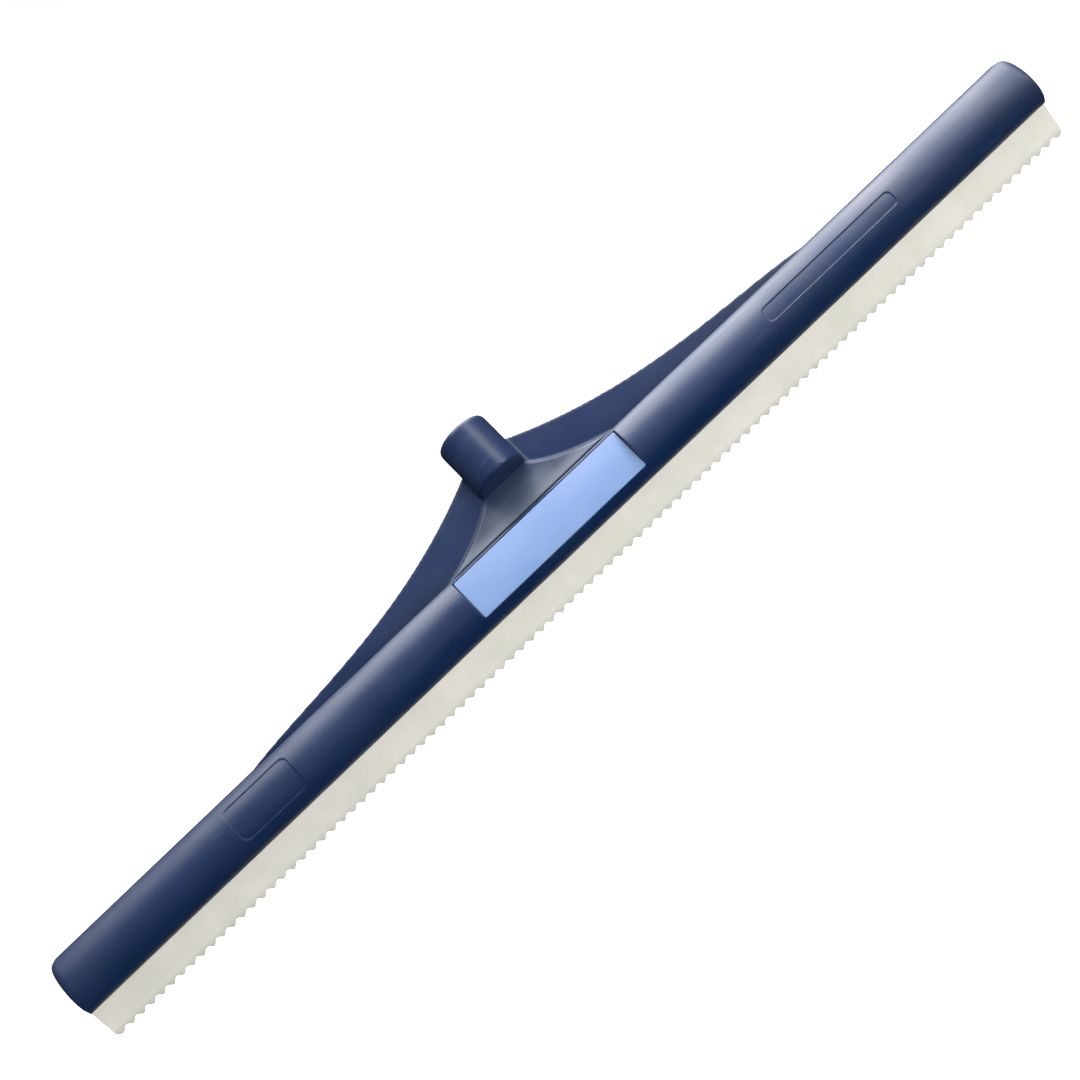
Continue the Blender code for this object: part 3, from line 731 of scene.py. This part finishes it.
def build_pins_and_studs():
    for i, x in enumerate(STATIONS, start=1):
        # A rolled steel pin: a split tube with narrowed ends.
        rings = []
        for along, trim in ((-PIN_HALF, 0.35), (-PIN_HALF + 0.7, 0.0), (0.0, 0.0),
                            (PIN_HALF - 0.7, 0.0), (PIN_HALF, 0.35)):
            outer = [direction(deg) * (PIN_RADIUS - trim) for deg in range(12, 349, 12)]
            inner = [direction(deg) * (PIN_RADIUS - 0.42) * 0.95 for deg in range(348, 11, -12)]
            rings.append([(x + along, HINGE.x + p.x, HINGE.y + p.y) for p in outer + inner])
        mesh = baked(temporary(sweep(rings), "pin"))
        place(f"roll_pin_{i}", mesh, steel, "frame", f"hinge_pin_{i}", smooth_deg=40.0)

        # A moulded stud: round shank, fillet at the root and a domed tip with a dimple.
        profile = [(STUD_RADIUS - 0.3, 6.7), (STUD_RADIUS, 6.3), (STUD_RADIUS, STUD_DOME_START)]
        for deg in range(15, 76, 15):
            turn = math.radians(deg)
            radius = STUD_RADIUS - 1.5 * (1 - math.cos(turn))
            profile.append((radius, STUD_DOME_START - 1.65 * math.sin(turn)))
        profile += [(1.0, -4.28), (0.7, -4.1), (0.35, -3.9), (0.05, -3.85)]
        turn = Matrix(((1, 0, 0, x), (0, 0, 1, 0), (0, 1, 0, STUD_Z), (0, 0, 0, 1)))
        mesh = baked(temporary(turned(profile, 32, turn), "stud"))
        place(f"moulded_stud_{i}", mesh, stud_plastic, "frame", f"blade_stud_{i}", smooth_deg=50.0)


# ---------------------------------------------------------------- materials

WARM_WHITE = (1.0, 0.97, 0.90)

class Nodes:
    """A short way to add and join shader nodes."""

    def __init__(self, name):
        self.material = bpy.data.materials.new(name)
        self.material.use_nodes = True
        self.tree = self.material.node_tree
        self.shader = self.tree.nodes["Principled BSDF"]
        self.coords = self.tree.nodes.new("ShaderNodeTexCoord").outputs["Object"]

    def add(self, kind, values=None, **links):
        node = self.tree.nodes.new(kind)
        for key, value in (values or {}).items():
            if key in node.inputs:
                node.inputs[key].default_value = value
            else:
                setattr(node, key, value)
        for key, source in links.items():
            self.tree.links.new(source, node.inputs[key.replace("_", " ")])
        return node

    def stretched(self, scale):
        node = self.add("ShaderNodeMapping", {"Scale": scale}, Vector=self.coords)
        return node.outputs["Vector"]

    def noise(self, scale, detail=3.0, rough=0.5, vector=None):
        values = {"Scale": scale, "Detail": detail, "Roughness": rough}
        node = self.add("ShaderNodeTexNoise", values, Vector=vector or self.coords)
        return node.outputs["Fac"]

    def remap(self, source, low, high, to_low, to_high):
        values = {"From Min": low, "From Max": high, "To Min": to_low, "To Max": to_high}
        return self.add("ShaderNodeMapRange", values, Value=source).outputs["Result"]

    def mix(self, factor, first, second):
        node = self.tree.nodes.new("ShaderNodeMix")
        node.data_type = "RGBA"
        if isinstance(factor, float):
            node.inputs[0].default_value = factor
        else:
            self.tree.links.new(factor, node.inputs[0])
        for socket, value in ((6, first), (7, second)):
            if isinstance(value, tuple):
                node.inputs[socket].default_value = (*value, 1.0)
            else:
                self.tree.links.new(value, node.inputs[socket])
        return node.outputs[2]

    def math(self, operation, first, second):
        node = self.tree.nodes.new("ShaderNodeMath")
        node.operation = operation
        for socket, value in enumerate((first, second)):
            if isinstance(value, float):
                node.inputs[socket].default_value = value
            else:
                self.tree.links.new(value, node.inputs[socket])
        return node.outputs[0]

    def dot(self, axis, foot):
        """Millimetres along an axis, counted from a point of the head's YZ plane."""
        node = self.add("ShaderNodeVectorMath", {"operation": "DOT_PRODUCT"})
        self.tree.links.new(self.coords, node.inputs[0])
        node.inputs[1].default_value = tuple(axis)
        start = axis.dot(TO_WORLD @ Vector((0.0, foot.x, foot.y)))
        return self.math("SUBTRACT", node.outputs["Value"], float(start))

    def bump(self, height, strength, distance, normal=None):
        values = {"Strength": strength, "Distance": distance}
        node = self.add("ShaderNodeBump", values, Height=height)
        if normal:
            self.tree.links.new(normal, node.inputs["Normal"])
        return node.outputs["Normal"]

    def link(self, source, socket):
        self.tree.links.new(source, self.shader.inputs[socket])


def make_navy(name, dark, light, rough_low, rough_high, gloss, waviness, web_painted_light=False):
    """Moulded polypropylene: fine texture, soft waves and streaks, faint dust, light scuffs."""
    m = Nodes(name)
    cloud = m.noise(26.0, 3.0, 0.55)
    streak = m.noise(60.0, 4.0, 0.6, m.stretched((0.12, 1.0, 1.0)))
    tone = m.math("ADD", m.math("MULTIPLY", cloud, 0.6), m.math("MULTIPLY", streak, 0.4))
    colour = m.mix(m.remap(tone, 0.35, 0.65, 0.0, 1.0), dark, light)
    dust = m.remap(m.noise(16.0, 5.0, 0.62, m.stretched((0.45, 1.0, 1.0))), 0.42, 0.72, 0.0, 0.6)
    colour = m.mix(dust, colour, (0.024, 0.036, 0.070))
    if web_painted_light:
        # Painted light: a lighter grey on the ramp between the label and the boss stands in for
        # the sheen near the label and fills the boss's shadow.
        slope = TO_WORLD.to_3x3().inverted()
        along = m.dot(slope @ Vector((0.0, DIAGONAL, DIAGONAL)), GUSSET_ZERO)
        above = m.dot(slope @ Vector((0.0, -DIAGONAL, DIAGONAL)), GUSSET_ZERO)
        below_boss = m.remap(along, 12.2, 10.2, 0.0, 1.0)
        web_light_mask = m.math("MULTIPLY", below_boss, m.remap(above, 0.5, 1.8, 0.0, 1.0))
        web_light_mask = m.math("MULTIPLY", web_light_mask, m.remap(cloud, 0.3, 0.7, 0.75, 1.0))
        across = m.add("ShaderNodeSeparateXYZ", Vector=m.coords).outputs["X"]
        middle = m.remap(m.math("ABSOLUTE", across, 0.0), 0.022, 0.008, 0.0, 1.0)
        # Painted light in the middle under the boss: a lighter grey that fills the boss's shadow.
        shadow_fill_colour = m.mix(middle, (0.008, 0.017, 0.050), (0.074, 0.098, 0.145))
        web_light_colour = m.mix(m.remap(along, -6.5, -0.5, 0.0, 1.0), (0.090, 0.112, 0.152), shadow_fill_colour)
        colour = m.mix(web_light_mask, colour, web_light_colour)
    scratch = m.noise(420.0, 5.0, 0.65, m.stretched((0.05, 1.0, 0.6)))
    scuff = m.math(
        "MULTIPLY",
        m.remap(scratch, 0.60, 0.72, 0.0, 1.0),
        m.remap(m.noise(18.0, 2.0), 0.48, 0.66, 0.0, 0.55),
    )
    colour = m.mix(scuff, colour, (0.045, 0.075, 0.17))
    m.link(colour, "Base Color")
    rough = m.remap(cloud, 0.3, 0.7, rough_low, rough_high)
    rough = m.math("ADD", rough, m.math("MULTIPLY", scuff, 0.14))
    m.link(rough, "Roughness")
    grain = m.noise(5200.0, 2.0, 0.5)
    peel = m.noise(900.0, 2.0, 0.5)
    normal = m.bump(m.noise(24.0, 2.0, 0.5), 0.6, waviness)
    normal = m.bump(peel, 0.10, 0.00012, normal)
    normal = m.bump(grain, 0.16, 0.00006, normal)
    m.link(normal, "Normal")
    m.shader.inputs["Specular IOR Level"].default_value = gloss
    m.shader.inputs["Specular Tint"].default_value = (*WARM_WHITE, 1.0)
    m.shader.inputs["IOR"].default_value = 1.49
    return m.material


def make_rubber():
    """Cream gum rubber: dusty mottling, fine marks along its length and painted shade that darkens
    the tooth tips.
    """
    m = Nodes("cream_blade_rubber")
    cloud = m.noise(45.0, 4.0, 0.6)
    speck = m.noise(900.0, 3.0, 0.6)
    colour = m.mix(m.remap(cloud, 0.35, 0.66, 0.0, 1.0), (0.75, 0.735, 0.65), (0.82, 0.80, 0.72))
    colour = m.mix(m.remap(speck, 0.60, 0.75, 0.0, 0.35), colour, (0.60, 0.575, 0.50))
    # Painted shade: the lowest few millimetres of the blade, along the tooth tips, are darkened.
    split = m.add("ShaderNodeSeparateXYZ", Vector=m.coords).outputs["Z"]
    tip = (TO_WORLD @ Vector((0, 0, BLADE_BOTTOM))).z
    tip_shade = m.remap(split, tip + 0.0045, tip + 0.0003, 0.0, 1.0)
    tip_shade = m.math("MULTIPLY", tip_shade, m.remap(m.noise(160.0, 3.0), 0.3, 0.7, 0.35, 0.9))
    colour = m.mix(tip_shade, colour, (0.55, 0.54, 0.50))
    m.link(colour, "Base Color")
    m.link(m.remap(cloud, 0.3, 0.7, 0.52, 0.68), "Roughness")
    cuts = m.noise(700.0, 3.0, 0.6, m.stretched((0.08, 1.0, 1.0)))
    normal = m.bump(cuts, 0.14, 0.00010)
    normal = m.bump(m.noise(3800.0, 2.0), 0.22, 0.00006, normal)
    m.link(normal, "Normal")
    m.shader.inputs["Specular IOR Level"].default_value = 0.35
    return m.material


def make_label():
    """A blank matt film with faint handling marks, and painted light that makes it paler towards
    its upper edge.
    """
    m = Nodes("blank_label_film")
    # Painted light: the film runs from darker at its lower edge to paler at its upper edge,
    # standing in for light from above.
    split = m.add("ShaderNodeSeparateXYZ", Vector=m.coords).outputs["Z"]
    low = (label_matrix() @ Vector((0, -LABEL_TALL / 2, 0))).z
    high = (label_matrix() @ Vector((0, LABEL_TALL / 2, 0))).z
    rise = m.remap(split, ORIGIN.z + low * 0.001, ORIGIN.z + high * 0.001, 0.0, 1.0)
    colour = m.mix(rise, (0.130, 0.220, 0.415), (0.185, 0.270, 0.48))
    mark = m.remap(m.noise(70.0, 4.0, 0.6, m.stretched((0.4, 1.0, 1.0))), 0.40, 0.70, 0.0, 0.22)
    colour = m.mix(mark, colour, (0.26, 0.33, 0.50))
    m.link(colour, "Base Color")
    m.link(m.remap(m.noise(120.0, 3.0), 0.3, 0.7, 0.34, 0.46), "Roughness")
    normal = m.bump(m.noise(260.0, 2.0), 0.06, 0.0002)
    normal = m.bump(m.noise(4200.0, 2.0), 0.10, 0.00004, normal)
    m.link(normal, "Normal")
    m.shader.inputs["Specular IOR Level"].default_value = 0.4
    return m.material


def make_steel():
    m = Nodes("rolled_pin_steel")
    brushed = m.noise(2600.0, 3.0, 0.6, m.stretched((0.05, 1.0, 1.0)))
    m.link(m.mix(brushed, (0.46, 0.46, 0.47), (0.68, 0.68, 0.69)), "Base Color")
    m.link(m.remap(brushed, 0.3, 0.7, 0.24, 0.40), "Roughness")
    m.link(m.bump(brushed, 0.15, 0.00004), "Normal")
    m.shader.inputs["Metallic"].default_value = 1.0
    return m.material


def make_stud_plastic():
    m = Nodes("moulded_stud_plastic")
    cloud = m.noise(220.0, 3.0)
    m.link(m.mix(cloud, (0.055, 0.07, 0.11), (0.10, 0.12, 0.17)), "Base Color")
    m.link(m.remap(cloud, 0.3, 0.7, 0.36, 0.52), "Roughness")
    m.link(m.bump(m.noise(4000.0), 0.2, 0.00005), "Normal")
    return m.material


navy_cover = make_navy(
    "moulded_navy_cover", dark=(0.0034, 0.0165, 0.064), light=(0.0048, 0.0215, 0.079),
    rough_low=0.42, rough_high=0.52, gloss=0.46, waviness=0.0018,
)
navy_bracket = make_navy(
    "moulded_navy_bracket", dark=(0.0036, 0.0142, 0.055), light=(0.0046, 0.0174, 0.067),
    rough_low=0.30, rough_high=0.38, gloss=0.23, waviness=0.0004, web_painted_light=True,
)
rubber = make_rubber()
label_film = make_label()
steel = make_steel()
stud_plastic = make_stud_plastic()
pieces_by_slot = {
    "navy_plastic": [build_cover(), build_bracket(), build_rear_jaw()],
    "label_film": [build_label()],
    "blade_rubber": [build_blade()],
}
build_pins_and_studs()


# ---------------------------------------------------------------- floor, light and camera


FLOOR_DROP = 0.58
FLOOR_HALF = 6.0
BACKDROP_RADIUS = 5.6


def build_stage():
    bm = bmesh.new()
    bmesh.ops.create_grid(bm, x_segments=8, y_segments=8, size=FLOOR_HALF)
    mesh = bpy.data.meshes.new("floor")
    bm.to_mesh(mesh)
    bm.free()
    floor = bpy.data.objects.new("floor", mesh)
    floor.location = (0.0, 0.0, cad_box[0][2] - FLOOR_DROP)
    m = Nodes("pale_floor")
    m.link(m.mix(m.noise(0.6), (0.90, 0.90, 0.90), (0.93, 0.93, 0.93)), "Base Color")
    m.shader.inputs["Roughness"].default_value = 0.9
    m.shader.inputs["Specular IOR Level"].default_value = 0.1
    m.shader.inputs["Emission Color"].default_value = (1.0, 1.0, 1.0, 1.0)
    m.shader.inputs["Emission Strength"].default_value = 0.7
    floor.visible_glossy = False
    floor.visible_diffuse = False
    mesh.materials.append(m.material)
    bpy.context.scene.collection.objects.link(floor)

    # A plain backdrop for low views: seen by the camera, but out of the light's way.
    bm = bmesh.new()
    bmesh.ops.create_uvsphere(bm, u_segments=64, v_segments=32, radius=BACKDROP_RADIUS)
    mesh = bpy.data.meshes.new("backdrop")
    bm.to_mesh(mesh)
    bm.free()
    mesh.shade_smooth()
    backdrop = bpy.data.objects.new("backdrop", mesh)
    backdrop.location = floor.location
    m = Nodes("pale_backdrop")
    m.link(m.mix(m.noise(0.4), (0.97, 0.97, 0.97), (1.0, 1.0, 1.0)), "Emission Color")
    m.shader.inputs["Base Color"].default_value = (0.0, 0.0, 0.0, 1.0)
    m.shader.inputs["Specular IOR Level"].default_value = 0.0
    m.shader.inputs["Emission Strength"].default_value = 1.0
    backdrop.visible_glossy = False
    backdrop.visible_diffuse = False
    backdrop.visible_shadow = False
    mesh.materials.append(m.material)
    bpy.context.scene.collection.objects.link(backdrop)

    world = bpy.data.worlds.new("studio")
    world.use_nodes = True
    tree = world.node_tree
    background = tree.nodes["Background"]
    background.inputs["Color"].default_value = (0.94, 0.97, 1.0, 1.0)
    coords = tree.nodes.new("ShaderNodeTexCoord")
    split = tree.nodes.new("ShaderNodeSeparateXYZ")
    rise = tree.nodes.new("ShaderNodeMapRange")
    rise.inputs["From Min"].default_value = -0.30
    rise.inputs["From Max"].default_value = 0.75
    rise.inputs["To Min"].default_value = 0.018
    rise.inputs["To Max"].default_value = 0.36
    tree.links.new(coords.outputs["Generated"], split.inputs[0])
    tree.links.new(split.outputs["Z"], rise.inputs["Value"])
    tree.links.new(rise.outputs["Result"], background.inputs["Strength"])
    bpy.context.scene.world = world


def area_light(name, place_at, aim_at, size, power, gloss=True, diffuse=True):
    """A panel; one without diffuse light shows only as a reflection and is slightly warm."""
    data = bpy.data.lights.new(name, "AREA")
    data.shape = "RECTANGLE"
    data.size, data.size_y = size
    data.energy = power
    if not diffuse:
        data.color = WARM_WHITE
    item = bpy.data.objects.new(name, data)
    item.location = place_at
    toward = Vector(aim_at) - Vector(place_at)
    item.rotation_euler = toward.to_track_quat("-Z", "Y").to_euler()
    item.visible_glossy = gloss
    item.visible_diffuse = diffuse
    bpy.context.scene.collection.objects.link(item)


def build_camera():
    place_at = TO_WORLD @ Vector((-72.45, -1057.56, 577.53))
    target = TO_WORLD @ Vector((-7.77, 0.0, 14.16))
    camera = bpy.data.objects.new("camera", bpy.data.cameras.new("camera"))
    turn = (target - place_at).to_track_quat("-Z", "Y").to_matrix().to_4x4()
    roll = Matrix.Rotation(math.radians(-42.03), 4, "Z")
    camera.matrix_world = Matrix.Translation(place_at) @ turn @ roll
    camera.data.lens = 87.0
    camera.data.sensor_width = 36.0
    camera.data.clip_start = 0.01
    bpy.context.scene.collection.objects.link(camera)
    bpy.context.scene.camera = camera


build_stage()
area_light("panel_top", (0.22, 0.50, 0.70), (0.22, 0.40, -0.06), (1.00, 0.62), 15.0)
area_light("panel_over", (0.22, 0.04, 0.70), (0.22, 0.04, -0.06), (1.10, 0.34), 5.6)
area_light("panel_right", (0.54, 0.18, 0.70), (0.52, 0.18, -0.06), (0.26, 0.84), 6.5)
area_light("panel_side", (0.68, -0.40, 0.58), (0.27, 0.0, -0.03), (0.36, 0.84), 9.6, diffuse=False)
area_light("panel_back", (0.45, 0.90, 0.52), (0.20, 0.0, 0.0), (1.10, 0.60), 17.0, diffuse=False)
area_light("fill_front", (0.5, -2.0, 0.28), (0.0, -0.04, -0.05), (1.2, 1.2), 40.0, gloss=False)
build_camera()
bpy.context.scene.view_settings.view_transform = "Standard"
